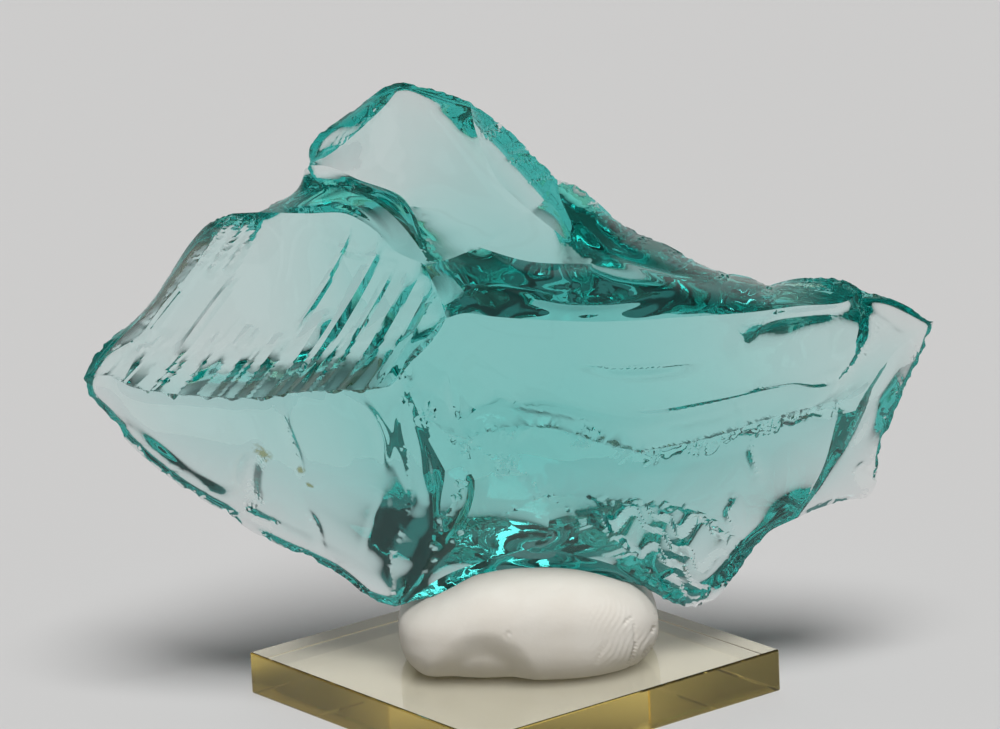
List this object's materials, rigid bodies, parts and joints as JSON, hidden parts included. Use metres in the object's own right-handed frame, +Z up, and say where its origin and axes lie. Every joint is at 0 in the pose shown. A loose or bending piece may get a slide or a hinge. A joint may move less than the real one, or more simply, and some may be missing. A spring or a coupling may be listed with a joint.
{
  "type": "mounted glass crystal specimen",
  "caption": "Broken chunk of clear teal andara glass with curved fracture faces, held by putty on a square clear pale yellow acrylic base.",
  "frame": {"origin": "centre of the square base's underside, on the surface that the specimen stands on", "axes": "+X to the right along the crystal's longest extent, +Y away from the viewer, +Z up; one corner of the base points to the front, 7 degrees off -Y"},
  "size_m": [0.0707, 0.0444, 0.052],
  "materials": {
    "teal_glass": "broken glass, glossy curved fracture faces, see-through",
    "putty_clay": "matte off-white putty with finger marks",
    "yellow_acrylic": "polished clear pale yellow acrylic"
  },
  "bodies": {
    "root": {"andara_crystal": "teal_glass", "mounting_putty": "putty_clay", "acrylic_base": "yellow_acrylic"}
  },
  "joints": []
}
